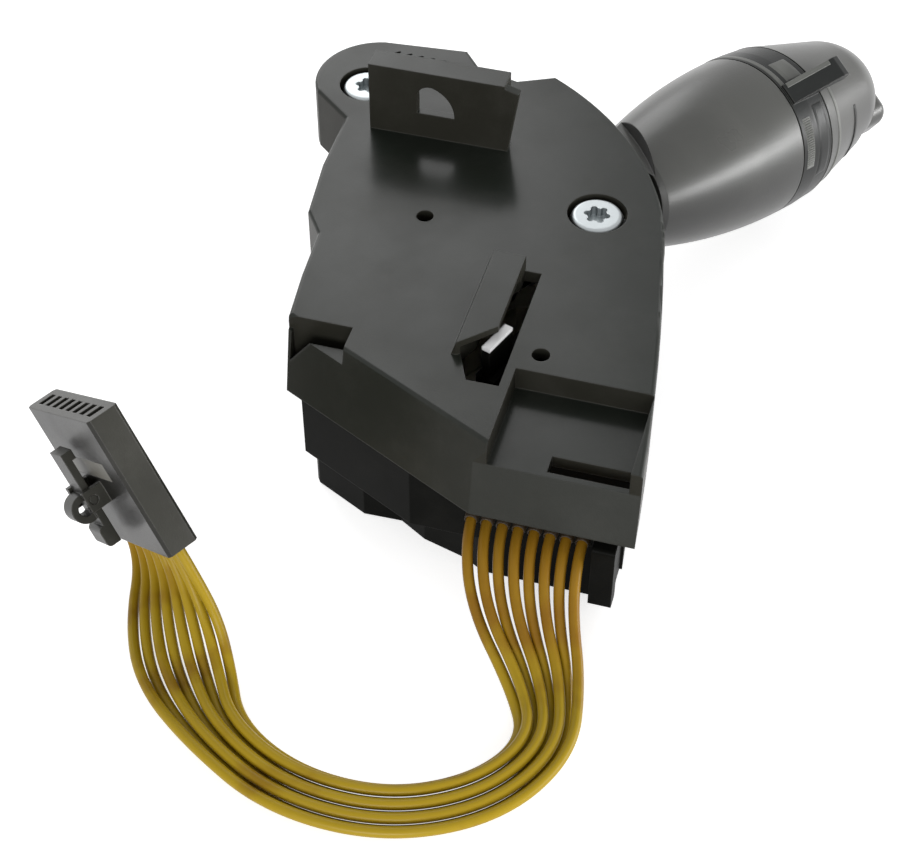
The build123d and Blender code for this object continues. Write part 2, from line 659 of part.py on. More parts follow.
def flash_spring():
    spring = coil_spring(FLASH_SPRING_RADIUS, 0.7, ARM_BOTTOM - FLASH_SPRING_SEAT, 3.5)
    return on_yoke(Pos(FLASH_SPRING_AT, 0, FLASH_SPRING_SEAT) * spring)


# Lever
def lever_arm():
    """Arm between the yoke cheeks, the round neck and the spindle that carries ring and knob."""
    arm = block((ARM_TAIL, 26.0), (-ARM_HALF_WIDTH, ARM_HALF_WIDTH), (ARM_BOTTOM, ARM_TOP))
    arm -= Pos(CROSS_PIN_AT, 0, CROSS_PIN_Z) * Rot(90, 0, 0) * Cylinder(CROSS_PIN_RADIUS + RUNNING_FIT, 40)
    neck = Pos(0, 0, 24.2) * extrude(Circle(NECK_RADIUS), RING_HUB_START - 24.2)
    spindle = Pos(0, 0, 24.5) * extrude(Circle(SPINDLE_RADIUS), SPINDLE_END - 24.5)
    groove = Pos(0, 0, KNOB_HUB_END + 0.1) * (
        extrude(Circle(SPINDLE_RADIUS + 1), CLIP_WALL) - extrude(Circle(CLIP_INNER), CLIP_WALL))
    return on_yoke(arm) + on_stalk(neck + spindle - groove)


def turned_curve(outer, closing):
    """Revolve edges in the XZ plane, closed by straight lines through (radius, distance)."""
    first, last = outer[0] @ 0, outer[-1] @ 1
    corners = [last, *[Vector(radius, 0, along) for radius, along in closing], first]
    return revolve(make_face([*outer, *Polyline(corners).edges()]), axis=Axis.Z)


def barrel_side(inset, root, start, stop):
    """The swelling side of the barrel from its root radius, moved inwards."""
    return ThreePointArc((root, 0, start), (BELLY_RADIUS - inset, 0, BELLY_AT),
                         (RING_RADIUS - inset, 0, stop))


def stalk_barrel():
    body = turned_curve([barrel_side(0, ROOT_RADIUS, BARREL_START + 1.0, BARREL_END)], (
        (NECK_RADIUS, BARREL_END), (NECK_RADIUS, BARREL_START), (ROOT_RADIUS - 0.9, BARREL_START)))
    room_start, room_end = BARREL_START + ROOT_SOLID, BARREL_END - SHELL_WALL
    hub = NECK_RADIUS + HUB_WALL
    cavity = turned_curve([barrel_side(SHELL_WALL, hub + 0.6, room_start, room_end)], (
        (hub, room_end), (hub, room_start)))
    barrel = on_stalk(body - cavity)
    # The root is trimmed where it would reach the edge of the cover at either end of the turn
    rise = (EDGE_REACH - CROSS_PIN_AT) * math.sin(math.radians(FLASH_RANGE))
    outline = offset(cover_outline(), EDGE_SIDE_GAP)
    edge = Pos(0, 0, CEILING - rise - EDGE_GAP) * extrude(outline, 20, dir=(0, 0, 1))
    near = on_yoke(block((20, 60), (-30, 30), (0, 80)))
    swept = Rot(0, 0, -TURN_RANGE) * edge + edge + Rot(0, 0, TURN_RANGE) * edge
    return barrel - (swept & near)


def ring_body():
    start = BARREL_END + SEAM
    bore = SPINDLE_RADIUS + RUNNING_FIT
    hub_outer = SPINDLE_RADIUS + HUB_WALL
    hub_start, hub_end = RING_HUB_START + 0.1, RING_END - 0.1
    hub = turned(((bore, hub_start), (hub_outer, hub_start), (hub_outer, hub_end), (bore, hub_end)))
    middle = (BARREL_END + RING_END) / 2
    web = turned(((bore, middle - 1.0), (RING_RADIUS - 1, middle - 1.0), (RING_RADIUS - 1, middle + 1.4),
                  (bore, middle + 1.4)))
    rim = turned(((RING_RADIUS - SHELL_WALL, start), (RING_RADIUS, start), (RING_RADIUS, middle),
                  (RING_RADIUS - 0.3, RING_END), (RING_RADIUS - SHELL_WALL, RING_END)))
    return hub + web + rim


def rotary_ring():
    """Turning ring with its grip tab, which stands over the end knob."""
    root, low = RING_RADIUS - 1, RING_RADIUS + 0.5
    start, stop, end = BARREL_END + 0.9, RING_END - SEAM, RING_END + TAB_REACH
    profile = Plane.YZ.location * make_face(Polyline(
        (root, start), (low, start), (RING_RADIUS + 3.6, end - 2.4), (RING_RADIUS + 3.2, end), (low, end),
        (low, stop), (root, stop), close=True))
    tab = extrude(profile, TAB_WIDTH / 2, both=True)
    tab = fillet(tab.edges().filter_by(Axis.X).sort_by(Axis.Y)[-2:], 1.0)
    return on_stalk(ring_body() + Rot(0, 0, TAB_ANGLE) * tab)


def knob_side(inset, stop):
    """The tapering side of the knob and its dome, moved inwards and ending on the axis."""
    base = Vector(RING_RADIUS - 0.3 - inset, 0, RING_END + SEAM)
    shoulder = Vector(SHOULDER_RADIUS - inset, 0, SHOULDER_AT)
    return [Line(base, shoulder), TangentArc(shoulder, (0, 0, stop), tangent=shoulder - base)]


def knob_wall_middle(station):
    """Radius of the middle of the knob's tapering wall, where the web and the disc end."""
    base = RING_END + SEAM
    share = (station - base) / (SHOULDER_AT - base)
    return RING_RADIUS - 0.3 + share * (SHOULDER_RADIUS - RING_RADIUS + 0.3) - SHELL_WALL / 2


def end_knob():
    body = turned_curve(knob_side(0, TIP), ((0, RING_END + SEAM),))
    cavity = turned_curve(knob_side(SHELL_WALL, TIP - SHELL_WALL), ((0, RING_END + SEAM),))
    web_top = KNOB_WEB + SHELL_WALL
    web_edge = knob_wall_middle(web_top)
    web = turned(((0, KNOB_WEB), (web_edge, KNOB_WEB), (web_edge, web_top), (0, web_top)))
    hub = turned(((0, RING_END + SEAM), (SPINDLE_RADIUS + HUB_WALL, RING_END + SEAM),
                  (SPINDLE_RADIUS + HUB_WALL, KNOB_HUB_END), (0, KNOB_HUB_END)))
    disc_top = KNOB_DISC + KNOB_DISC_WALL
    disc_edge = knob_wall_middle(disc_top)
    disc = turned(((0, KNOB_DISC), (disc_edge, KNOB_DISC), (disc_edge, disc_top), (0, disc_top)))
    bore_radius = SPINDLE_RADIUS + RUNNING_FIT
    bore = turned(((0, 60), (bore_radius, 60), (bore_radius, KNOB_HUB_END + 0.1), (0, KNOB_HUB_END + 0.1)))
    knob = body - cavity + ((web + hub) - bore) + disc
    gap = BUTTON_GAP
    pocket = block((-BUTTON_WIDTH / 2 - gap, BUTTON_WIDTH / 2 + gap), (BUTTON_INNER - gap, 30),
                   (disc_top, TIP + 12))
    return on_stalk(knob - Rot(0, 0, BUTTON_ANGLE) * pocket)


def end_button():
    """Push button in the end of the knob, with a nose that stands out of the dome."""
    cap = block((-BUTTON_WIDTH / 2, BUTTON_WIDTH / 2), (BUTTON_INNER, BUTTON_OUTER),
                (BUTTON_BACK, BUTTON_FRONT))
    cap = fillet(cap.edges().filter_by(Axis.Z).group_by(Axis.Y)[-1], 3.4)
    cap = fillet(cap.edges().group_by(Axis.Z)[-1], 3.2)
    return on_stalk(Rot(0, 0, BUTTON_ANGLE) * cap)


def button_spring():
    spring = coil_spring(2.2, 0.5, BUTTON_BACK - KNOB_DISC - KNOB_DISC_WALL, 2.5)
    seat = Pos(0, (BUTTON_INNER + BUTTON_OUTER) / 2, KNOB_DISC + KNOB_DISC_WALL)
    return on_stalk(Rot(0, 0, BUTTON_ANGLE) * seat * spring)


def knob_clip():
    """Retaining clip in the groove at the end of the spindle."""
    washer = extrude(Circle(CLIP_OUTER) - Circle(CLIP_INNER), CLIP_WALL)
    washer -= block((-CLIP_MOUTH / 2, CLIP_MOUTH / 2), (0, 2 * CLIP_OUTER), (-1, CLIP_WALL + 1))
    return on_stalk(Pos(0, 0, KNOB_HUB_END + 0.1) * washer)


# Contacts
def contact_board():
    board = block(BOARD_X, BOARD_Y, (BOARD_BOTTOM, BOARD_TOP))
    board = board & plan_block(LOWER_INSET + WALL + LID_GAP, (0, 10)) - lower_cutter(WALL + LID_GAP)
    board -= rod(*PAWL_PIN, 3.3, (0, 20))
    track_back = TRACK_FACE + TRACK_WALL
    board -= on_yoke(ring_sector((track_back - LID_GAP, track_back + 2 + LID_GAP),
                                 (180 - TRACK_HALF - 2, 180 + TRACK_HALF + 2), (0, 20)))
    return board


def slider_guide():
    """Two rails and end stops on the board that guide the contact slider."""
    reach = SLIDER_WIDTH / 2 + SLIDER_AT * math.sin(math.radians(TURN_RANGE)) + 0.6
    half = SLIDER_LENGTH / 2
    rail = half + 1.5
    frame = block((-SLIDER_AT - rail, -SLIDER_AT + rail), (-reach - 1.5, reach + 1.5),
                  (BOARD_TOP, SLIDER_TOP - 1.5))
    channel = half + RUNNING_FIT
    frame -= block((-SLIDER_AT - channel, -SLIDER_AT + channel), (-reach, reach), (0, 30))
    return on_yoke(frame)


def contact_slider():
    half = SLIDER_LENGTH / 2
    body = block((-SLIDER_AT - half, -SLIDER_AT + half), (-SLIDER_WIDTH / 2, SLIDER_WIDTH / 2),
                 (SLIDER_BOTTOM, SLIDER_TOP))
    slot_width = 2 * (DRIVE_PIN_RADIUS + DRIVE_SLOT_GAP)
    body -= block((-SLIDER_AT - 2.4, -SLIDER_AT + 2.4), (-slot_width / 2, slot_width / 2),
                  (SLIDER_BOTTOM + 0.8, 30))
    return on_yoke(body)


def moving_contacts():
    """Brass bridges under the slider."""
    bridges = []
    for side in (-1, 1):
        for place in (-3.0, 3.0):
            y = (side * 4.4 - 1.4, side * 4.4 + 1.4)
            x = (-SLIDER_AT + place - 0.6, -SLIDER_AT + place + 0.6)
            bridges.append(on_yoke(block(x, y, (SLIDER_BOTTOM - CONTACT_THICK, SLIDER_BOTTOM))))
    return Compound(children=bridges)


def fixed_contacts():
    """Brass tracks on the board under the slider."""
    tracks = []
    for place in (-3.0, 0.0, 3.0):
        x = (-SLIDER_AT + place - 0.8, -SLIDER_AT + place + 0.8)
        tracks.append(on_yoke(block(x, (-9.0, 9.0), (BOARD_TOP, BOARD_TOP + 0.2))))
    return Compound(children=tracks)


def harness_terminals():
    """Brass strips from the board up to the wire comb."""
    strips = []
    for i in range(WIRE_COUNT):
        x = WIRE_EXIT_X + (i - (WIRE_COUNT - 1) / 2) * WIRE_PITCH
        foot = block((x - 0.6, x + 0.6), (-49.0, -45.5), (BOARD_TOP, BOARD_TOP + 0.6))
        riser = block((x - 0.6, x + 0.6), (-49.0, -48.4), (BOARD_TOP, WIRE_EXIT_Z + 0.3))
        tongue = block((x - 0.6, x + 0.6), (FRONT_WALL_Y + COMB_DEPTH, -48.4),
                       (WIRE_EXIT_Z - 0.3, WIRE_EXIT_Z + 0.3))
        strips.append(foot + riser + tongue)
    return Compound(children=strips)


def wire_comb():
    """Strain relief in the front wall, with a rounded collar for each wire."""
    x = (WIRE_EXIT_X - COMB_WIDTH / 2, WIRE_EXIT_X + COMB_WIDTH / 2)
    z = (WIRE_EXIT_Z - COMB_HEIGHT / 2, WIRE_EXIT_Z + COMB_HEIGHT / 2)
    comb = block(x, (FRONT_WALL_Y, FRONT_WALL_Y + COMB_DEPTH), z)
    comb += block((x[0] - 1.5, x[1] + 1.5), (FRONT_WALL_Y + WALL, FRONT_WALL_Y + COMB_DEPTH),
                  (z[0] - 1.2, z[1] + 1.2))
    return comb


# Cancel pawl
def pawl_blade(z):
    """The upright blade of the pawl between two heights."""
    start, stop = Vector(*PAWL_BLADE_FROM), Vector(*PAWL_BLADE_TO)
    along = stop - start
    heading = math.degrees(math.atan2(along.Y, along.X))
    return Pos(start.X, start.Y, 0) * Rot(0, 0, heading) * block(
        (0, along.length), (-PAWL_BLADE_WALL / 2, PAWL_BLADE_WALL / 2), z)


def pawl_pad():
    """Pale slip along the top of the blade."""
    return pawl_blade((PAWL_BLADE_TOP - PAWL_PAD, PAWL_BLADE_TOP))


def cancel_pawl():
    x, y = PAWL_PIN
    stop = Vector(*PAWL_BLADE_TO)
    blade = pawl_blade((PAWL_Z[0], PAWL_BLADE_TOP - PAWL_PAD))
    arm_heading = math.degrees(math.atan2(stop.Y - y, stop.X - x))
    arm_length = math.hypot(stop.X - x, stop.Y - y)
    arm = Pos(x, y, 0) * Rot(0, 0, arm_heading) * block((0, arm_length), (-2.0, 2.0), PAWL_Z)
    hub = rod(x, y, 3.0, PAWL_Z)
    bore = rod(x, y, PAWL_PIN_RADIUS + RUNNING_FIT, (0, 60))
    return hub + arm + blade - bore


def pawl_pin():
    return rod(*PAWL_PIN, PAWL_PIN_RADIUS, (PAWL_Z[0] - 8, PAWL_Z[1] + 1.0))


# Connector
def in_plug(shape):
    return PLUG.location * shape


def cavity_places():
    return [(i - (WIRE_COUNT - 1) / 2) * PLUG_PITCH for i in range(WIRE_COUNT)]


def connector_shell():
    half_width, half_thick = PLUG_WIDTH / 2, PLUG_THICK / 2
    shell = block((-half_width, half_width), (-half_thick, half_thick), (0, PLUG_LENGTH))
    shell = chamfer(shell.edges().filter_by(Axis.Z), 0.6)
    for x in cavity_places():
        shell -= block((x - CAVITY[0] / 2, x + CAVITY[0] / 2), (-CAVITY[1] / 2, CAVITY[1] / 2),
                       (-1, PLUG_LENGTH + 1))
    # Recess for the lock bar, on the face that looks away from the thickness axis
    shell -= block((-LOCK_BAR_LENGTH / 2, LOCK_BAR_LENGTH / 2), (-half_thick - 1, -CAVITY[1] / 2 - 0.6),
                   LOCK_BAR_Z)
    for side in (-1, 1):
        ear_x = LATCH_AT + side * (LATCH_WIDTH / 2 + 0.15 + EAR_WALL / 2)
        shell += block((ear_x - EAR_WALL / 2, ear_x + EAR_WALL / 2),
                       (-half_thick - LATCH_STAND - 1.4, -half_thick + 0.4),
                       (LATCH_PIVOT - 2.0, LATCH_PIVOT + 2.0))
    shell -= Pos(LATCH_AT, -half_thick - LATCH_STAND, LATCH_PIVOT) * Rot(0, 90, 0) * Cylinder(
        TRUNNION_RADIUS + RUNNING_FIT, 20)
    return in_plug(shell)


def lock_bar():
    half_thick = PLUG_THICK / 2
    bar = block((-LOCK_BAR_LENGTH / 2, LOCK_BAR_LENGTH / 2), (-half_thick, -CAVITY[1] / 2 - 0.6),
                LOCK_BAR_Z)
    return in_plug(bar)


def lock_lever():
    """Rocking lever on the connector: a hook near the mating end, an eye, and a thumb pad near the wires."""
    level = -PLUG_THICK / 2 - LATCH_STAND
    across = (LATCH_AT - LATCH_WIDTH / 2, LATCH_AT + LATCH_WIDTH / 2)
    thick = (level - LATCH_WALL / 2, level + LATCH_WALL / 2)
    lever = block(across, thick, (LATCH_PIVOT - 9.4, LATCH_PIVOT + 9.4))
    hook = block(across, (thick[0], thick[1] + 0.8), (LATCH_PIVOT + 7.6, LATCH_PIVOT + 9.4))
    trunnions = Pos(LATCH_AT, level, LATCH_PIVOT) * Rot(0, 90, 0) * Cylinder(
        TRUNNION_RADIUS, LATCH_WIDTH + 2 * EAR_WALL)
    pad = block(across, (level - 1.9, level), (LATCH_PIVOT - 9.4, LATCH_PIVOT - 5.4))
    pad = fillet(pad.edges().filter_by(Axis.X).group_by(Axis.Y)[0], 0.9)
    ring = Cylinder(2.7, LATCH_WIDTH - 1.6) - Cylinder(1.4, LATCH_WIDTH)
    eye = Pos(LATCH_AT, level - 1.5, LATCH_PIVOT - 1.3) * Rot(0, 90, 0) * ring
    eye -= block((-20, 20), (thick[1], 0), (0, 30))
    return in_plug(lever + hook + trunnions + pad + eye)


def plug_terminals():
    terminals = []
    for x in cavity_places():
        half_x = CAVITY[0] / 2 - TERMINAL_GAP
        half_y = CAVITY[1] / 2 - TERMINAL_GAP
        body = block((x - half_x, x + half_x), (-half_y, half_y), (0, PLUG_LENGTH - TERMINAL_SHORT))
        body -= block((x - 0.5, x + 0.5), (-0.9, 0.9), (PLUG_LENGTH - TERMINAL_SHORT - 7, PLUG_LENGTH))
        terminals.append(in_plug(body))
    return Compound(children=terminals)


# Wires
def wire_points(index):
    """Stations of one wire: bundle centre, its place in the spread, and the offset of every second wire."""
    place = index - (WIRE_COUNT - 1) / 2
    points = []
    for centre, spread, lift in zip(WIRE_CENTRE, WIRE_SPREAD, WIRE_OFFSET):
        points.append(Vector(*centre) + Vector(*spread) * place + Vector(*lift) * (index % 2))
    return points


def bend_radii(points):
    """Each arc takes 0.45 of the shorter of the two runs that it joins."""
    radii = []
    for before, corner, after in zip(points, points[1:], points[2:]):
        arriving, leaving = corner - before, after - corner
        half_turn = math.radians(arriving.get_angle(leaving)) / 2
        radii.append(0.45 * min(arriving.length, leaving.length) / math.tan(half_turn))
    return radii


def wire(index):
    points = wire_points(index)
    radii = bend_radii(points)
    route = FilletPolyline(*points, radius=radii)
    start = Plane(origin=points[0], z_dir=points[1] - points[0])
    tube = sweep(start * Circle(WIRE_DIAMETER / 2), path=route)
    expected = math.pi * WIRE_DIAMETER ** 2 / 4 * route.length
    print(f"wire {index + 1}: length {route.length:.1f}, smallest bend {min(radii):.1f}, "
          f"volume ratio {tube.volume / expected:.3f}, lowest {tube.bounding_box().min.Z:.2f}")
    return tube


PIECES = {
    "rear_cover": rear_cover,
    "base_housing": base_housing,
    "cover_screws": cover_screws,
    "yoke": yoke,
    "dust_shield": dust_shield,
    "pivot_pin": pivot_pin,
    "cross_pin": cross_pin,
    "detent_plunger": detent_plunger,
    "detent_spring": detent_spring,
    "detent_track": detent_track,
    "flash_spring": flash_spring,
    "lever_arm": lever_arm,
    "stalk_barrel": stalk_barrel,
    "rotary_ring": rotary_ring,
    "end_knob": end_knob,
    "end_button": end_button,
    "button_spring": button_spring,
    "knob_clip": knob_clip,
    "contact_board": contact_board,
    "slider_guide": slider_guide,
    "contact_slider": contact_slider,
    "moving_contacts": moving_contacts,
    "fixed_contacts": fixed_contacts,
    "harness_terminals": harness_terminals,
    "wire_comb": wire_comb,
    "cancel_pawl": cancel_pawl,
    "pawl_pad": pawl_pad,
    "pawl_pin": pawl_pin,
    "connector_shell": connector_shell,
    "lock_bar": lock_bar,
    "lock_lever": lock_lever,
    "plug_terminals": plug_terminals,
}

for name, make in PIECES.items():
    save(make(), name)
for index in range(WIRE_COUNT):
    save(wire(index), f"wire_{index + 1}")
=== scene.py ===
import math

import bmesh
import bpy
import numpy as np
from mathutils import Matrix, Vector


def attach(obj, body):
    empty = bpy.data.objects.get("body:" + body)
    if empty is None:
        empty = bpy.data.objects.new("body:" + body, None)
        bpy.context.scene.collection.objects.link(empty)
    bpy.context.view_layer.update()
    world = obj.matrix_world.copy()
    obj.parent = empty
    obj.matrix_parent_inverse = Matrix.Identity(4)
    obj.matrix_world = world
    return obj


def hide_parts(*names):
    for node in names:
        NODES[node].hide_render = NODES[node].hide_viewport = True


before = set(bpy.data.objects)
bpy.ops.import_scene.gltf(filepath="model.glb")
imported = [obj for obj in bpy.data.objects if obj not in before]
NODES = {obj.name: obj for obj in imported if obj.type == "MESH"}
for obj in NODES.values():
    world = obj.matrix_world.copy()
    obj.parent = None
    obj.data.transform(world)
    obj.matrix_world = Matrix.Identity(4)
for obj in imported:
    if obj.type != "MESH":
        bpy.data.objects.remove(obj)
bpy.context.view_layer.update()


# Camera of the photograph
CAMERA_PLACE = (0.064358, -0.278682, 0.273645)
CAMERA_AZIMUTH = math.radians(16.0)
CAMERA_ELEVATION = math.radians(46.0)
FOCAL_PIXELS = 1925.0
IMAGE_WIDTH = 899.0
SENSOR_WIDTH = 36.0


def make_camera():
    """Camera that looks down at the switch from the side of the wires."""
    a, e = CAMERA_AZIMUTH, CAMERA_ELEVATION
    back = Vector((math.sin(a) * math.cos(e), -math.cos(a) * math.cos(e), math.sin(e)))
    right = Vector((math.cos(a), math.sin(a), 0.0))
    up = back.cross(right)
    data = bpy.data.cameras.new("camera")
    data.sensor_width = SENSOR_WIDTH
    data.lens = SENSOR_WIDTH * FOCAL_PIXELS / IMAGE_WIDTH
    data.clip_start, data.clip_end = 0.01, 20.0
    camera = bpy.data.objects.new("camera", data)
    camera.matrix_world = Matrix.Translation(CAMERA_PLACE) @ Matrix((right, up, back)).transposed().to_4x4()
    bpy.context.scene.collection.objects.link(camera)
    bpy.context.scene.camera = camera


make_camera()


# Wires: stations of the bundle centre, the spread from wire to wire, and the offset of every second wire
MM = 0.001
WIRE_COUNT = 8
WIRE_DIAMETER = 0.002
WIRE_CENTRE = np.array((
    (15.6, -57.0, 16.5), (15.6, -63.0, 16.5), (18.0, -71.5, 9.8), (25.0, -81.0, 1.4), (28.6, -93.5, 1.4),
    (21.0, -106.0, 1.4), (6.0, -113.8, 1.4), (-12.0, -113.6, 1.4), (-27.0, -106.0, 1.4),
    (-36.0, -96.0, 1.4), (-41.5, -87.0, 4.6), (-45.76, -78.31, 9.56), (-48.9, -77.0, 14.5),
)) * MM
WIRE_SPREAD = np.array((
    (2.9, 0.0, 0.0), (2.9, 0.0, 0.0), (2.5, 0.5, 0.0), (1.6, 0.5, 0.0), (1.25, -0.3, 0.0),
    (0.95, -1.0, 0.0), (0.33, -1.33, 0.0), (-0.33, -1.33, 0.0), (-0.92, -1.02, 0.0),
    (-1.95, -1.15, 0.0), (-2.45, -0.1, -0.9), (-2.383, 1.818, -1.994), (-2.383, 1.818, -1.994),
)) * MM
WIRE_OFFSET = np.array((
    (0.0, 0.0, 0.0), (0.0, 0.0, 0.0), (0.1, -0.3, 0.5), (0.2, -0.2, 1.95), (0.0, 0.0, 2.2),
    (0.0, 0.0, 1.75), (0.0, 0.0, 1.75), (0.0, 0.0, 1.75), (0.0, 0.0, 1.75), (0.0, 0.0, 1.2),
    (0.0, 0.0, 0.0), (0.0, 0.0, 0.0), (0.0, 0.0, 0.0),
)) * MM


def make_wire(index):
    """A lead wire: a NURBS line through the same stations as its solid, with a round bevel."""
    place = index - (WIRE_COUNT - 1) / 2
    stations = WIRE_CENTRE + WIRE_SPREAD * place + WIRE_OFFSET * (index % 2)
    curve = bpy.data.curves.new(f"lead_{index + 1}", "CURVE")
    curve.dimensions = "3D"
    curve.resolution_u = 24
    curve.bevel_depth = 1.0
    curve.bevel_resolution = 4
    curve.use_fill_caps = True
    spline = curve.splines.new("NURBS")
    spline.points.add(len(stations) - 1)
    spline.points.foreach_set("co", np.column_stack([stations, np.ones(len(stations))]).ravel())
    spline.points.foreach_set("radius", np.full(len(stations), WIRE_DIAMETER / 2))
    spline.order_u = 3
    spline.use_endpoint_u = True
    lead = bpy.data.objects.new(f"lead_{index + 1}", curve)
    bpy.context.scene.collection.objects.link(lead)
    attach(lead, "housing")
    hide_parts(f"wire_{index + 1}")
    return lead


leads = [make_wire(index) for index in range(WIRE_COUNT)]


# Node helpers
def group(name, inputs, outputs):
    """A shader node group with named sockets, and its input and output nodes."""
    tree = bpy.data.node_groups.new(name, "ShaderNodeTree")
    for socket, kind, value in inputs:
        made = tree.interface.new_socket(socket, in_out="INPUT", socket_type=kind)
        made.default_value = value
    for socket, kind in outputs:
        tree.interface.new_socket(socket, in_out="OUTPUT", socket_type=kind)
    return tree, tree.nodes.new("NodeGroupInput"), tree.nodes.new("NodeGroupOutput")


def add(tree, kind, values=None, **settings):
    """A node with its settings, and its unlinked inputs by name or number."""
    node = tree.nodes.new(kind)
    for key, value in settings.items():
        setattr(node, key, value)
    for key, value in (values or {}).items():
        node.inputs[key].default_value = value
    return node


def ramp(tree, source, low, high, start=0.0, stop=1.0):
    """A smooth step of a value between low and high, put out from start to stop."""
    limits = {"From Min": low, "From Max": high, "To Min": start, "To Max": stop}
    step = add(tree, "ShaderNodeMapRange", limits, interpolation_type="SMOOTHSTEP")
    tree.links.new(source, step.inputs["Value"])
    return step.outputs["Result"]


FLOAT, COLOUR, VECTOR = "NodeSocketFloat", "NodeSocketColor", "NodeSocketVector"


def moulded_grain():
    """Fine moulded grain, as a height and a roughness that vary with it."""
    tree, given, made = group("moulded_grain", [
        ("Scale", FLOAT, 3000.0), ("Depth", FLOAT, 1.0), ("Roughness", FLOAT, 0.4), ("Spread", FLOAT, 0.08),
    ], [("Height", FLOAT), ("Roughness", FLOAT)])
    place = add(tree, "ShaderNodeTexCoord")
    pores = add(tree, "ShaderNodeTexNoise", {"Detail": 3.0, "Roughness": 0.6})
    tree.links.new(place.outputs["Object"], pores.inputs["Vector"])
    tree.links.new(given.outputs["Scale"], pores.inputs["Scale"])
    flow = add(tree, "ShaderNodeTexNoise", {"Scale": 45.0, "Detail": 4.0, "Roughness": 0.55})
    tree.links.new(place.outputs["Object"], flow.inputs["Vector"])
    height = add(tree, "ShaderNodeMath", operation="MULTIPLY")
    tree.links.new(pores.outputs["Fac"], height.inputs[0])
    tree.links.new(given.outputs["Depth"], height.inputs[1])
    centred = add(tree, "ShaderNodeMath", {1: 0.5}, operation="SUBTRACT")
    tree.links.new(flow.outputs["Fac"], centred.inputs[0])
    varied = add(tree, "ShaderNodeMath", operation="MULTIPLY_ADD")
    tree.links.new(centred.outputs[0], varied.inputs[0])
    tree.links.new(given.outputs["Spread"], varied.inputs[1])
    tree.links.new(given.outputs["Roughness"], varied.inputs[2])
    tree.links.new(height.outputs[0], made.inputs["Height"])
    tree.links.new(varied.outputs[0], made.inputs["Roughness"])
    return tree


def softened_edges():
    """Edges rounded in the shading, and a mask that is 1 where the surface turns sharply."""
    tree, given, made = group("softened_edges", [("Radius", FLOAT, 0.0004)],
                              [("Normal", VECTOR), ("Edge", FLOAT)])
    rounded = add(tree, "ShaderNodeBevel", samples=6)
    tree.links.new(given.outputs["Radius"], rounded.inputs["Radius"])
    flat = add(tree, "ShaderNodeNewGeometry")
    agreement = add(tree, "ShaderNodeVectorMath", operation="DOT_PRODUCT")
    tree.links.new(rounded.outputs["Normal"], agreement.inputs[0])
    tree.links.new(flat.outputs["Normal"], agreement.inputs[1])
    tree.links.new(ramp(tree, agreement.outputs["Value"], 0.995, 0.85), made.inputs["Edge"])
    tree.links.new(rounded.outputs["Normal"], made.inputs["Normal"])
    return tree


def film_and_pale_edges():
    """A cloudy film of dust that lightens a colour in soft patches, and a paler tone along sharp edges."""
    tree, given, made = group("film_and_pale_edges", [
        ("Colour", COLOUR, (0.1, 0.1, 0.1, 1)), ("Overlay", COLOUR, (0.4, 0.39, 0.36, 1)),
        ("Amount", FLOAT, 0.1), ("Edge", FLOAT, 0.0), ("Edge Amount", FLOAT, 0.2),
    ], [("Colour", COLOUR)])
    place = add(tree, "ShaderNodeTexCoord")
    cloud = add(tree, "ShaderNodeTexNoise", {"Scale": 60.0, "Detail": 6.0, "Roughness": 0.65})
    tree.links.new(place.outputs["Object"], cloud.inputs["Vector"])
    patch = ramp(tree, cloud.outputs["Fac"], 0.42, 0.75)
    film = add(tree, "ShaderNodeMath", operation="MULTIPLY")
    tree.links.new(patch, film.inputs[0])
    tree.links.new(given.outputs["Amount"], film.inputs[1])
    edge_paling = add(tree, "ShaderNodeMath", operation="MULTIPLY")
    tree.links.new(given.outputs["Edge"], edge_paling.inputs[0])
    tree.links.new(given.outputs["Edge Amount"], edge_paling.inputs[1])
    both = add(tree, "ShaderNodeMath", operation="MAXIMUM")
    tree.links.new(film.outputs[0], both.inputs[0])
    tree.links.new(edge_paling.outputs[0], both.inputs[1])
    mixed = add(tree, "ShaderNodeMix", data_type="RGBA")
    tree.links.new(both.outputs[0], mixed.inputs["Factor"])
    tree.links.new(given.outputs["Colour"], mixed.inputs[6])
    tree.links.new(given.outputs["Overlay"], mixed.inputs[7])
    tree.links.new(mixed.outputs[2], made.inputs["Colour"])
    return tree


def painted_top_light():
    """A soft mask for painted light and shade on faces that look up: 0 on walls, 1 on top, thinner in cloudy
    patches.
    """
    tree, given, made = group("painted_top_light", [("Patchiness", FLOAT, 0.35)], [("Overlay", FLOAT)])
    facing = add(tree, "ShaderNodeNewGeometry")
    parts = add(tree, "ShaderNodeSeparateXYZ")
    tree.links.new(facing.outputs["Normal"], parts.inputs["Vector"])
    place = add(tree, "ShaderNodeTexCoord")
    cloud = add(tree, "ShaderNodeTexNoise", {"Scale": 38.0, "Detail": 5.0, "Roughness": 0.6})
    tree.links.new(place.outputs["Object"], cloud.inputs["Vector"])
    lack = add(tree, "ShaderNodeMath", operation="MULTIPLY")
    tree.links.new(ramp(tree, cloud.outputs["Fac"], 0.35, 0.7), lack.inputs[0])
    tree.links.new(given.outputs["Patchiness"], lack.inputs[1])
    left = add(tree, "ShaderNodeMath", {0: 1.0}, operation="SUBTRACT")
    tree.links.new(lack.outputs[0], left.inputs[1])
    # film: the painted light and shade on up-facing faces, thinner in cloudy patches
    film = add(tree, "ShaderNodeMath", operation="MULTIPLY")
    tree.links.new(ramp(tree, parts.outputs["Z"], 0.02, 0.7), film.inputs[0])
    tree.links.new(left.outputs[0], film.inputs[1])
    tree.links.new(film.outputs[0], made.inputs["Overlay"])
    return tree


GRAIN = moulded_grain()
EDGES = softened_edges()
MARKS = film_and_pale_edges()
PAINTED_TOP_LIGHT = painted_top_light()


def place_group(tree, source, values):
    """A node that uses a group, with its own inputs."""
    node = add(tree, "ShaderNodeGroup", node_tree=source)
    for key, value in values.items():
        node.inputs[key].default_value = value
    return node


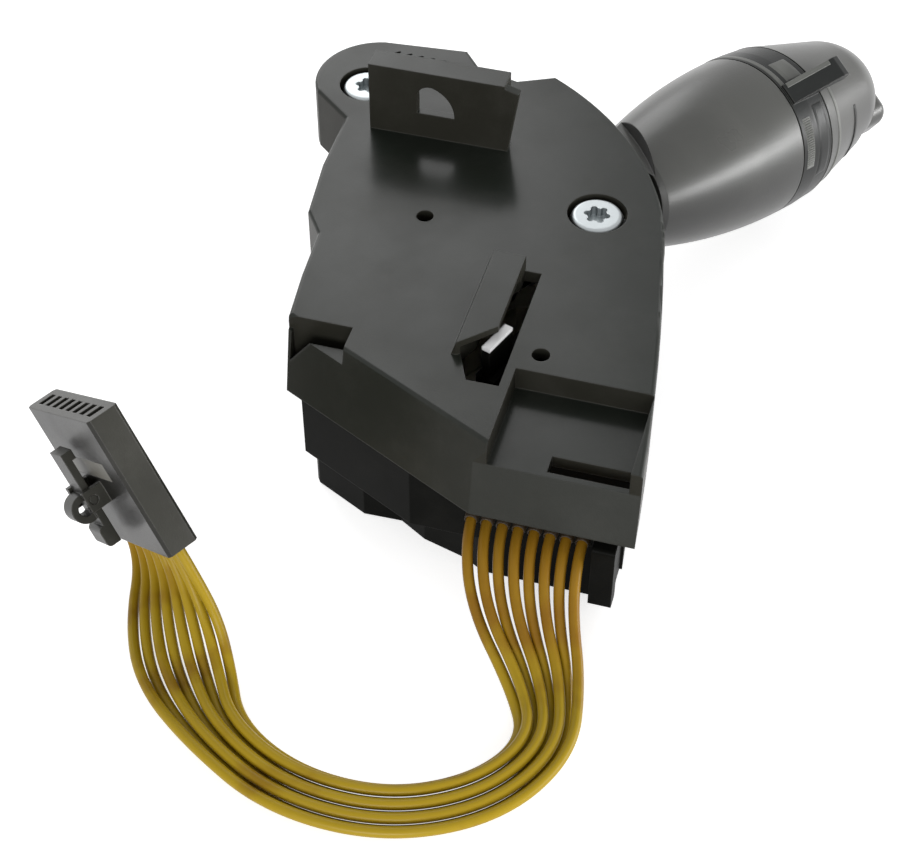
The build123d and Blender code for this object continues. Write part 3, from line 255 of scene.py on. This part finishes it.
def shader(name, **constants):
    """A new material with its Principled BSDF, whose constants are set on its own sockets."""
    material = bpy.data.materials.new(name)
    material.use_nodes = True
    tree = material.node_tree
    surface = tree.nodes["Principled BSDF"]
    for key, value in constants.items():
        surface.inputs[key.replace("_", " ")].default_value = value
    return material, tree, surface


def finish_surface(tree, surface, pores, marks, strength, distance, normal=None):
    """Link the colour, roughness and fine relief of a finish to its Principled BSDF."""
    bump = add(tree, "ShaderNodeBump", {"Strength": strength, "Distance": distance})
    tree.links.new(pores.outputs["Height"], bump.inputs["Height"])
    if normal:
        tree.links.new(normal, bump.inputs["Normal"])
    tree.links.new(marks.outputs["Colour"], surface.inputs["Base Color"])
    tree.links.new(pores.outputs["Roughness"], surface.inputs["Roughness"])
    tree.links.new(bump.outputs["Normal"], surface.inputs["Normal"])


def moulded(name, colour, roughness, film=0.06, grain=3000.0, depth=1.0, radius=0.0004, edge_paling=0.12,
            top=None, top_gloss=0.0, **constants):
    """Moulded plastic: fine grain, softened edges made a little paler, a thin film of dust, and painted light
    and shade: a top that takes another colour, and more gloss, where it faces up."""
    material, tree, surface = shader(name, **constants)
    top_light_mask = place_group(tree, PAINTED_TOP_LIGHT, {"Patchiness": 0.3})
    edge = place_group(tree, EDGES, {"Radius": radius})
    pores = place_group(tree, GRAIN, {"Scale": grain, "Depth": depth, "Roughness": roughness, "Spread": 0.16})
    marks = place_group(tree, MARKS, {"Amount": film, "Edge Amount": edge_paling})
    # tint: painted light and shade, the top colour laid on up-facing faces over the wall colour
    tint = add(tree, "ShaderNodeMix", {6: (*colour, 1), 7: (*(top or colour), 1)}, data_type="RGBA")
    tree.links.new(top_light_mask.outputs["Overlay"], tint.inputs["Factor"])
    tree.links.new(tint.outputs[2], marks.inputs["Colour"])
    if top_gloss:
        gloss = add(tree, "ShaderNodeMath", {1: top_gloss}, operation="MULTIPLY")
        tree.links.new(top_light_mask.outputs["Overlay"], gloss.inputs[0])
        tree.links.new(gloss.outputs[0], surface.inputs["Coat Weight"])
    tree.links.new(edge.outputs["Edge"], marks.inputs["Edge"])
    finish_surface(tree, surface, pores, marks, 0.35, 0.00006, edge.outputs["Normal"])
    return material


def plated(name, colour, roughness, scratches=420.0, dull=0.25):
    """Plated or ground metal with fine scratches and dull patches."""
    material, tree, surface = shader(name, Metallic=1.0)
    edge = place_group(tree, EDGES, {"Radius": 0.0002})
    pores = place_group(tree, GRAIN, {"Scale": scratches, "Roughness": roughness, "Spread": dull})
    marks = place_group(tree, MARKS, {"Colour": (*colour, 1), "Overlay": (0.3, 0.31, 0.32, 1), "Amount": dull})
    finish_surface(tree, surface, pores, marks, 0.4, 0.00005, edge.outputs["Normal"])
    return material


def insulation():
    """Semi-gloss yellow wire insulation, browner in patches and amber in the shade where the wires leave."""
    material, tree, surface = shader("yellow_insulation", Specular_IOR_Level=0.16, Coat_Weight=0.03,
                                     Coat_Roughness=0.25)
    place = add(tree, "ShaderNodeTexCoord")
    patches = add(tree, "ShaderNodeTexNoise", {"Scale": 75.0, "Detail": 3.0, "Roughness": 0.5})
    tree.links.new(place.outputs["Object"], patches.inputs["Vector"])
    colour = add(tree, "ShaderNodeMix", {6: (0.37, 0.25, 0.011, 1), 7: (0.23, 0.125, 0.006, 1)},
                 data_type="RGBA")
    tree.links.new(ramp(tree, patches.outputs["Fac"], 0.5, 0.72), colour.inputs["Factor"])
    along = add(tree, "ShaderNodeSeparateXYZ")
    tree.links.new(place.outputs["Object"], along.inputs["Vector"])
    shaded = add(tree, "ShaderNodeMix", {7: (0.24, 0.1, 0.007, 1)}, data_type="RGBA")
    tree.links.new(ramp(tree, along.outputs["Y"], -0.088, -0.062, 0.0, 0.8), shaded.inputs["Factor"])
    tree.links.new(colour.outputs[2], shaded.inputs[6])
    fine = place_group(tree, GRAIN, {"Scale": 1500.0, "Roughness": 0.36, "Spread": 0.2})
    marks = place_group(tree, MARKS, {"Overlay": (0.42, 0.3, 0.04, 1), "Amount": 0.12, "Edge Amount": 0.0})
    tree.links.new(shaded.outputs[2], marks.inputs["Colour"])
    finish_surface(tree, surface, fine, marks, 0.3, 0.00005)
    return material


# Each top colour is painted light and shade on up-facing faces: the paler tops of the stalk, ring and plug
# are painted highlight, and the cover's darker, greener top is painted shading against its walls.
COVER = moulded("cover_plastic", (0.019, 0.0185, 0.0145), 0.36, film=0.02, edge_paling=0.03,
                top=(0.012, 0.0148, 0.0118), top_gloss=0.4, Specular_IOR_Level=0.08, Coat_Roughness=0.2)
BASE = moulded("base_plastic", (0.0024, 0.0025, 0.002), 0.42, film=0.01, edge_paling=0.015, Specular_IOR_Level=0.03)
STALK = moulded("stalk_plastic", (0.022, 0.0222, 0.021), 0.31, film=0.03, radius=0.0003, edge_paling=0.06,
                top=(0.058, 0.059, 0.054), Specular_IOR_Level=0.5)
RING = moulded("ring_plastic", (0.006, 0.0065, 0.0065), 0.34, film=0.02, radius=0.0003, edge_paling=0.14,
               top=(0.012, 0.0135, 0.013), Specular_IOR_Level=0.2)
INLAY = moulded("ring_inlay", (0.085, 0.088, 0.08), 0.42, film=0.05, radius=0.0002, edge_paling=0.1)
PLUG = moulded("plug_plastic", (0.006, 0.0057, 0.005), 0.33, film=0.04, radius=0.0003, edge_paling=0.14,
               top=(0.036, 0.0355, 0.029), Specular_IOR_Level=0.2)
LOCK = moulded("lock_plastic", (0.12, 0.115, 0.10), 0.45, film=0.05, radius=0.0002)
# Dark brown sleeve colour: painted shade where the wires leave the wall.
SHADE_SLEEVE = moulded("painted_shade_sleeve", (0.03, 0.017, 0.006), 0.5, film=0.04, radius=0.0002, edge_paling=0.05)
# Plain near-white for the pad on top of the pawl.
BLADE = moulded("white_acetal", (0.6, 0.6, 0.605), 0.25, film=0.0, edge_paling=0.0)
CREAM = moulded("natural_acetal", (0.62, 0.58, 0.47), 0.4, film=0.05, edge_paling=0.02)
BOARD = moulded("phenolic_board", (0.2, 0.1, 0.04), 0.5, film=0.06, edge_paling=0.0)
ZINC = plated("zinc_plate", (0.42, 0.45, 0.46), 0.42)
STEEL = plated("ground_steel", (0.5, 0.5, 0.51), 0.28, dull=0.12)
BRASS = plated("stamped_brass", (0.72, 0.52, 0.2), 0.3, dull=0.1)
YELLOW = insulation()

FINISHES = {
    "rear_cover": COVER, "base_housing": BASE, "cover_screws": ZINC, "yoke": CREAM, "dust_shield": BASE,
    "pivot_pin": STEEL, "cross_pin": STEEL, "detent_plunger": STEEL, "detent_spring": STEEL,
    "detent_track": CREAM, "flash_spring": STEEL, "lever_arm": BASE, "stalk_barrel": STALK,
    "rotary_ring": RING, "end_knob": STALK, "end_button": STALK, "button_spring": STEEL, "knob_clip": STEEL,
    "contact_board": BOARD, "slider_guide": BASE, "contact_slider": CREAM, "moving_contacts": BRASS,
    "fixed_contacts": BRASS, "harness_terminals": BRASS, "wire_comb": BASE, "cancel_pawl": BASE,
    "pawl_pad": BLADE, "pawl_pin": STEEL, "connector_shell": PLUG, "lock_bar": LOCK, "lock_lever": PLUG,
    "plug_terminals": BRASS,
}
for node, finish in FINISHES.items():
    NODES[node].data.materials.clear()
    NODES[node].data.materials.append(finish)
for lead in leads:
    lead.data.materials.append(YELLOW)


# Small pieces of the scene, on the stalk's axis and stations in mm
AXIS_AZIMUTH = math.radians(60.0)
AXIS_DIP = math.radians(8.0)
AXIS_HEIGHT = 30.8
RING_RADIUS = 17.6
RING_TAPER = 0.3
RING_MIDDLE, RING_END = 70.0, 75.0
KNOB_START, KNOB_SHOULDER = 75.4, 95.0
SHOULDER_RADIUS = 12.9
PATCH_DEPTH = 0.5
RIB_PITCH = 1.6
TAB_ANGLE = math.radians(31.0)
TAB_START, TAB_TOP = 65.9, 80.0
TAB_ROOT_RADIUS, TAB_TOP_RADIUS = 18.1, 21.2
COVER_TOP = 40.0
RIDGE_COUNT = 8
STALK_ALONG = np.array((math.cos(AXIS_AZIMUTH) * math.cos(AXIS_DIP),
                        math.sin(AXIS_AZIMUTH) * math.cos(AXIS_DIP), -math.sin(AXIS_DIP)))
STALK_LEFT = np.array((-math.sin(AXIS_AZIMUTH), math.cos(AXIS_AZIMUTH), 0.0))
STALK_UP = np.cross(STALK_ALONG, STALK_LEFT)
AXIS_START = np.array((0.0, 0.0, AXIS_HEIGHT))


def around_stalk(radius, angle, along):
    """Points at a radius from the stalk axis, at an angle from its top towards its right side."""
    side = np.sin(angle)[..., None] * -STALK_LEFT + np.cos(angle)[..., None] * STALK_UP
    place = np.asarray(along)[..., None] * STALK_ALONG + np.asarray(radius)[..., None] * side
    return place + AXIS_START


def carried_loops(name, loops, body, finish, joined=False):
    """A closed skin over loops of points in mm: neighbours are joined by quads, and the two end loops are
    capped, or joined to each other."""
    count, size = loops.shape[:2]
    spans = count if joined else count - 1
    first = np.arange(spans)[:, None] * size + np.arange(size)[None, :]
    after = (np.arange(spans)[:, None] + 1) % count * size + np.arange(size)[None, :]
    faces = np.stack([first, np.roll(first, -1, 1), np.roll(after, -1, 1), after], -1).reshape(-1, 4).tolist()
    if not joined:
        faces += [list(range(size))[::-1], list(range((count - 1) * size, count * size))]
    mesh = bpy.data.meshes.new(name)
    mesh.from_pydata((loops.reshape(-1, 3) * MM).tolist(), [], faces)
    shell = bmesh.new()
    shell.from_mesh(mesh)
    bmesh.ops.recalc_face_normals(shell, faces=shell.faces)
    shell.to_mesh(mesh)
    shell.free()
    piece = bpy.data.objects.new(name, mesh)
    bpy.context.scene.collection.objects.link(piece)
    mesh.materials.append(finish)
    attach(piece, body)


def shell_patch(name, radius, height, along, angles, steps, body, slot, finish):
    """A raised patch on the stalk: for each angle a closed section from along[0] to along[1], whose top is
    the radius plus the height at that angle, with both side edges sloping down over a fifth of the width."""
    angle = np.radians(np.linspace(*angles, steps))
    start, stop = along
    edge = (stop - start) / 5
    share = np.array((0.0, 0.0, 0.55, 1.0, 1.0, 0.55, 0.0, 0.0))
    place = np.array((start, start, start + 0.4 * edge, start + edge,
                      stop - edge, stop - 0.4 * edge, stop, stop))
    base = np.array([radius(s) for s in place])
    sunk = np.array((-PATCH_DEPTH, 0.0, 0.0, 0.0, 0.0, 0.0, 0.0, -PATCH_DEPTH))
    top = base[None, :] + sunk[None, :] + share[None, :] * height(angle)[:, None]
    loops = around_stalk(top, np.broadcast_to(angle[:, None], top.shape), np.broadcast_to(place, top.shape))
    carried_loops(name, loops, body, finish)


def ring_radius(station):
    """The rim of the turning ring is straight to its middle, then tapers a little to its end."""
    return RING_RADIUS - RING_TAPER * max(0.0, (station - RING_MIDDLE) / (RING_END - RING_MIDDLE))


def knob_radius(station):
    """The knob tapers evenly from the ring's end to its own shoulder."""
    start = RING_RADIUS - RING_TAPER
    return start - (start - SHOULDER_RADIUS) * (station - KNOB_START) / (KNOB_SHOULDER - KNOB_START)


def knurl_height(angle):
    """Grip ribs: a raised sine of the angle, one rib per pitch in degrees, fading at both ends."""
    ribs = 0.5 + 0.5 * np.sin(2 * np.pi * np.degrees(angle) / RIB_PITCH)
    ends = np.sin(np.pi * (angle - angle[0]) / (angle[-1] - angle[0])) ** 0.3
    return 0.06 + 0.28 * ribs * ends


def even_height(value):
    """The same height at each angle, with rounded ends."""
    def height(angle):
        share = np.clip((angle - angle[0]) / (angle[-1] - angle[0]), 0, 1)
        return value * np.clip(1 - np.abs(2 * share - 1) ** 12, 0, 1)
    return height


def wire_collar(index):
    """A tapered sleeve where a wire leaves the wall, dark brown as painted shade there: a ring of sections
    whose outer radius falls along -Y.
    """
    place = (WIRE_CENTRE[0] + (index - (WIRE_COUNT - 1) / 2) * WIRE_SPREAD[0]) / MM
    turn = np.linspace(0, 2 * np.pi, 28, endpoint=False)
    depth = np.array((0.3, 0.3, -0.4, -2.2, -2.6, -2.6))
    radius = np.array((1.0, 1.43, 1.43, 1.25, 1.15, 1.0))
    ring = np.stack(np.broadcast_arrays(
        place[0] + radius[None, :] * np.cos(turn)[:, None], place[1] + depth[None, :],
        place[2] + radius[None, :] * np.sin(turn)[:, None]), -1)
    carried_loops(f"wire_collar_{index + 1}", ring, "housing", SHADE_SLEEVE, joined=True)


def ear_ridge(index):
    """One of the slanted mould ridges by the back edge of the ear: a half-round bar with fading ends."""
    share = np.linspace(0, 1, 15)
    start = np.array((-41.5 + 2.5 * index, 37.9 + 0.05 * index, COVER_TOP - 0.1))
    centre = start + share[:, None] * np.array((3.4, 4.0 - 0.2 * index, 0.0))
    turn = np.linspace(0, 2 * np.pi, 12, endpoint=False)
    across = np.array((0.74, -0.67, 0.0))
    size = 0.2 + 0.3 * np.sin(np.pi * share) ** 0.5
    loops = (centre[:, None, :] + size[:, None, None] * np.cos(turn)[None, :, None] * across
             + size[:, None, None] * np.sin(turn)[None, :, None] * np.array((0.0, 0.0, 0.8)))
    carried_loops(f"ear_ridge_{index + 1}", loops, "housing", BASE)


def painted_tab_crest_highlight():
    """A painted highlight on the crest of the grip tab: a pale flat strip along one edge of its top, on the
    tab's own slope.
    """
    station = np.linspace(66.6, 78.6, 9)
    slope = (TAB_TOP_RADIUS - TAB_ROOT_RADIUS) / (TAB_TOP - TAB_START)
    rise = TAB_ROOT_RADIUS + slope * (station - TAB_START)
    outward = -math.sin(TAB_ANGLE) * STALK_LEFT + math.cos(TAB_ANGLE) * STALK_UP
    sideways = -math.cos(TAB_ANGLE) * STALK_LEFT - math.sin(TAB_ANGLE) * STALK_UP
    across = np.array((-2.3, -2.3, -2.2, -1.3, -1.2, -1.2))
    height = np.array((-0.3, 0.0, 0.07, 0.07, 0.0, -0.3))
    loops = (station[:, None, None] * STALK_ALONG + (rise[:, None] + height[None, :])[..., None] * outward
             + across[None, :, None] * sideways + AXIS_START)
    carried_loops("painted_tab_crest_highlight", loops, "ring", INLAY)


# Patches: name, radius along the axis, height, stations, angles in degrees, steps, body, slot and finish
PATCHES = (
    ("ring_knurl", ring_radius, knurl_height, (66.4, 68.9), (50.0, 86.0), 260,
     "ring", "ring_plastic", INLAY),
    ("ring_band", ring_radius, even_height(0.12), (70.6, 74.2), (44.0, 96.0), 60,
     "ring", "ring_plastic", RING),
    ("ring_inlay", ring_radius, even_height(0.1), (66.0, 67.2), (-48.0, 24.0), 70,
     "ring", "ring_plastic", INLAY),
    ("ring_window", ring_radius, even_height(0.1), (68.4, 73.6), (4.0, 22.0), 40,
     "ring", "ring_plastic", INLAY),
    ("knob_bead", knob_radius, even_height(0.16), (78.6, 79.8), (36.0, 120.0), 80,
     "knob", "stalk_plastic", INLAY),
    ("knob_step", knob_radius, even_height(0.2), (86.8, 88.0), (60.0, 112.0), 60,
     "knob", "stalk_plastic", RING),
)
for index in range(WIRE_COUNT):
    wire_collar(index)
for index in range(RIDGE_COUNT):
    ear_ridge(index)
for patch in PATCHES:
    shell_patch(*patch)
painted_tab_crest_highlight()


# Floor and light
FLOOR_REACH = 3.0
FLOOR_DROP = 0.0004
FLOOR_GLOW = 0.62
SKY_LIGHT = 0.45


def make_floor():
    """A wide pale floor that shows white to the camera and to gloss, and still takes the shadow."""
    mesh = bpy.data.meshes.new("floor")
    corners = [(x * FLOOR_REACH, y * FLOOR_REACH, 0) for x, y in ((-1, -1), (1, -1), (1, 1), (-1, 1))]
    mesh.from_pydata(corners, [], [(0, 1, 2, 3)])
    floor = bpy.data.objects.new("floor", mesh)
    floor.location.z = -FLOOR_DROP
    bpy.context.scene.collection.objects.link(floor)
    material, tree, surface = shader("pale_floor", Roughness=0.9, Specular_IOR_Level=0.1)
    surface.inputs["Base Color"].default_value = (0.9, 0.9, 0.9, 1)
    path = add(tree, "ShaderNodeLightPath")
    seen = add(tree, "ShaderNodeMath", operation="MAXIMUM")
    tree.links.new(path.outputs["Is Camera Ray"], seen.inputs[0])
    tree.links.new(path.outputs["Is Glossy Ray"], seen.inputs[1])
    glow = add(tree, "ShaderNodeEmission", {"Color": (1, 1, 1, 1)})
    strength = add(tree, "ShaderNodeMath", {1: FLOOR_GLOW}, operation="MULTIPLY")
    tree.links.new(seen.outputs[0], strength.inputs[0])
    tree.links.new(strength.outputs[0], glow.inputs["Strength"])
    both = add(tree, "ShaderNodeAddShader")
    tree.links.new(surface.outputs[0], both.inputs[0])
    tree.links.new(glow.outputs[0], both.inputs[1])
    tree.links.new(both.outputs[0], tree.nodes["Material Output"].inputs["Surface"])
    mesh.materials.append(material)


def make_world():
    """White for the camera and for gloss, and a soft even grey for the light on the object."""
    world = bpy.data.worlds.new("studio")
    bpy.context.scene.world = world
    world.use_nodes = True
    tree = world.node_tree
    sky = tree.nodes["Background"]
    path = add(tree, "ShaderNodeLightPath")
    seen = add(tree, "ShaderNodeMath", operation="MAXIMUM")
    tree.links.new(path.outputs["Is Camera Ray"], seen.inputs[0])
    tree.links.new(path.outputs["Is Glossy Ray"], seen.inputs[1])
    glass = add(tree, "ShaderNodeMath", operation="MAXIMUM")
    tree.links.new(seen.outputs[0], glass.inputs[0])
    tree.links.new(path.outputs["Is Transmission Ray"], glass.inputs[1])
    strength = add(tree, "ShaderNodeMapRange", {"To Min": SKY_LIGHT, "To Max": 1.0})
    tree.links.new(glass.outputs[0], strength.inputs["Value"])
    tree.links.new(strength.outputs["Result"], sky.inputs["Strength"])
    sky.inputs["Color"].default_value = (1, 1, 1, 1)


def make_lamp(name, place, target, width, height, power):
    """A soft box that faces its target."""
    data = bpy.data.lights.new(name, "AREA")
    data.shape = "RECTANGLE"
    data.size = width
    data.size_y = height
    data.energy = power
    lamp = bpy.data.objects.new(name, data)
    lamp.location = place
    lamp.rotation_mode = "QUATERNION"
    lamp.rotation_quaternion = (Vector(target) - Vector(place)).to_track_quat("-Z", "Y")
    bpy.context.scene.collection.objects.link(lamp)


make_floor()
make_world()
# Lamps: name, place, target, width, height and power
LAMPS = (
    ("high_left", (-0.55, 0.75, 0.65), (0, -0.02, 0.02), 0.8, 0.8, 5.0),
    ("low_front", (0.1, -1.1, 0.32), (0, -0.03, 0.02), 0.6, 0.4, 7.5),
    ("low_right", (1.0, 0.2, 0.12), (0.045, 0.08, 0.025), 1.2, 0.16, 10.0),
)
for lamp in LAMPS:
    make_lamp(*lamp)
bpy.context.scene.view_settings.view_transform = "Standard"
